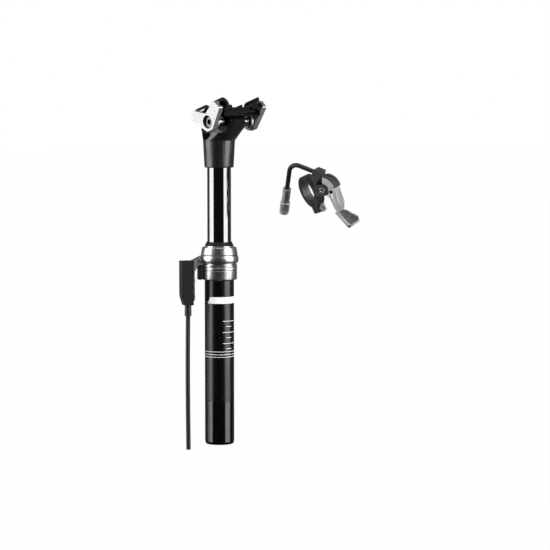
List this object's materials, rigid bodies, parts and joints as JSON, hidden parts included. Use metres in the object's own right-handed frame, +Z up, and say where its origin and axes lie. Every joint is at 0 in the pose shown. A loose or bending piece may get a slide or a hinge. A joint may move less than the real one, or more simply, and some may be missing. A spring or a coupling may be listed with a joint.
{
  "type": "dropper seatpost",
  "caption": "Telescoping bicycle seatpost with a setback saddle clamp, a cable actuator at the collar and a thumb lever remote for the handlebar.",
  "frame": {"origin": "on the post's axis at the underside of the collar, where the frame's seat tube ends", "axes": "+Z up along the post, +X forward in the riding direction, +Y to the rider's left"},
  "size_m": [0.1218, 0.1278, 0.3256],
  "materials": {
    "tube_black": "satin black anodised",
    "sleeve_black": "smooth black anodised",
    "stanchion_black": "polished black anodised",
    "head_black": "fine blasted black anodised",
    "cradle_black": "black anodised",
    "plug_black": "black anodised",
    "silver_machined": "turned, clear anodised",
    "silver_satin": "fine satin",
    "plate_silver": "polished",
    "plain_aluminium": "machined",
    "lever_silver": "brushed, clear anodised",
    "adjuster_silver": "turned grey anodised",
    "remote_black": "blasted black anodised",
    "bright_steel": "bright steel",
    "black_steel": "blackened",
    "brass_key": "turned",
    "housing_plastic": "fine moulded black",
    "ferrule_black": "smooth black",
    "cable_black": "extruded black",
    "noodle_black": "black shrink tube",
    "bush_plastic": "acetal",
    "seal_rubber": "black seal rubber"
  },
  "bodies": {
    "tube": {"outer_tube": "tube_black", "end_sleeve": "sleeve_black", "end_plug": "plug_black", "end_cap": "plug_black", "collar_seal": "seal_rubber", "lock_ring": "silver_satin", "collar_ring": "silver_machined", "actuator_ring": "silver_machined", "top_cap": "silver_machined", "wiper_seal": "seal_rubber", "upper_bush": "bush_plastic", "actuator_housing": "housing_plastic", "housing_cover": "housing_plastic", "cover_screws": "black_steel", "crank_guard": "housing_plastic", "crank_pin": "bright_steel", "cable_ferrule": "ferrule_black", "cable_housing": "cable_black", "rocker_pin": "bright_steel", "piston_rod": "bright_steel", "piston": "plain_aluminium", "piston_seal": "seal_rubber", "remote_clamp": "remote_black", "pinch_bolt": "bright_steel", "pivot_bolt": "bright_steel", "noodle": "noodle_black", "adjuster_neck": "adjuster_silver"},
    "post": {"stanchion": "stanchion_black", "saddle_head": "head_black", "lower_bush": "bush_plastic", "guide_keys": "brass_key", "cartridge_cylinder": "plain_aluminium", "cartridge_seal_head": "plain_aluminium", "cartridge_retainer": "plain_aluminium", "cartridge_nut": "plain_aluminium"},
    "gas_piston": {"floating_piston": "plain_aluminium", "floating_seal": "seal_rubber"},
    "clamp": {"cradle": "cradle_black", "clamp_spacers": "silver_satin"},
    "left_plate": {"left_plate": "plate_silver", "clamp_bolt": "bright_steel"},
    "right_plate": {"right_plate": "plate_silver", "clamp_nut": "bright_steel"},
    "crank": {"bell_crank": "bright_steel", "cable_barrel": "brass_key"},
    "wire": {"inner_wire": "bright_steel"},
    "pull_rod": {"pull_rod": "bright_steel"},
    "rocker": {"rocker": "bright_steel"},
    "valve_pin": {"valve_pin": "bright_steel"},
    "lever": {"thumb_lever": "lever_silver", "track_cover": "remote_black", "pivot_bush": "bush_plastic", "anchor_screw": "black_steel"},
    "adjuster": {"adjuster_barrel": "adjuster_silver"}
  },
  "joints": [
    {"name": "post_travel", "type": "slide", "parent": "tube", "child": "post", "axis": [0, 0, 1], "range_m": [-0.065, 0], "stiffness_N_per_m": 300, "springref_m": 0.3},
    {"name": "gas_piston_travel", "type": "slide", "parent": "post", "child": "gas_piston", "axis": [0, 0, 1], "range_m": [0, 0.0191]},
    {"name": "clamp_tilt", "type": "hinge", "parent": "post", "child": "clamp", "pos_m": [-0.0165, 0, 0.1458], "axis": [0, 1, 0], "range_deg": [-12, 12]},
    {"name": "left_plate_opening", "type": "slide", "parent": "clamp", "child": "left_plate", "axis": [0, 1, 0], "range_m": [0, 0.003]},
    {"name": "right_plate_opening", "type": "slide", "parent": "clamp", "child": "right_plate", "axis": [0, -1, 0], "range_m": [0, 0.003]},
    {"name": "lever_press", "type": "hinge", "parent": "tube", "child": "lever", "pos_m": [-0.07866, -0.05995, 0.08438], "axis": [0.3747, -0.9051, 0.2009], "range_deg": [0, 16], "stiffness_Nm_per_rad": 0.3, "springref_deg": -20.05},
    {"name": "crank_turn", "type": "hinge", "parent": "tube", "child": "crank", "pos_m": [0.00845, 0.01813, 0.017], "axis": [-0.9063, 0.4226, 0], "range_deg": [0, 20.01]},
    {"name": "wire_pull", "type": "slide", "parent": "tube", "child": "wire", "axis": [0, 0, -1], "range_m": [0, 0.00321]},
    {"name": "pull_rod_lift", "type": "slide", "parent": "tube", "child": "pull_rod", "axis": [0, 0, 1], "range_m": [0, 0.00286]},
    {"name": "rocker_turn", "type": "hinge", "parent": "tube", "child": "rocker", "pos_m": [-0.00254, -0.00544, -0.123], "axis": [0.9063, -0.4226, 0], "range_deg": [0, 9.3]},
    {"name": "valve_pin_lift", "type": "slide", "parent": "tube", "child": "valve_pin", "axis": [0, 0, 1], "range_m": [0, 0.00098]},
    {"name": "adjuster_turn", "type": "hinge", "parent": "tube", "child": "adjuster", "pos_m": [-0.02901, -0.05523, 0.06582], "axis": [0.4371, -0.2485, -0.8644], "continuous": true}
  ],
  "couplings": [
    {"joint": "gas_piston_travel", "follows": "post_travel", "ratio": -0.29218},
    {"joint": "crank_turn", "follows": "lever_press", "ratio": 1.25},
    {"joint": "wire_pull", "follows": "lever_press", "m_per_rad": 0.011459},
    {"joint": "pull_rod_lift", "follows": "lever_press", "m_per_rad": 0.010206},
    {"joint": "rocker_turn", "follows": "lever_press", "ratio": 0.57595},
    {"joint": "valve_pin_lift", "follows": "lever_press", "m_per_rad": 0.003456}
  ]
}
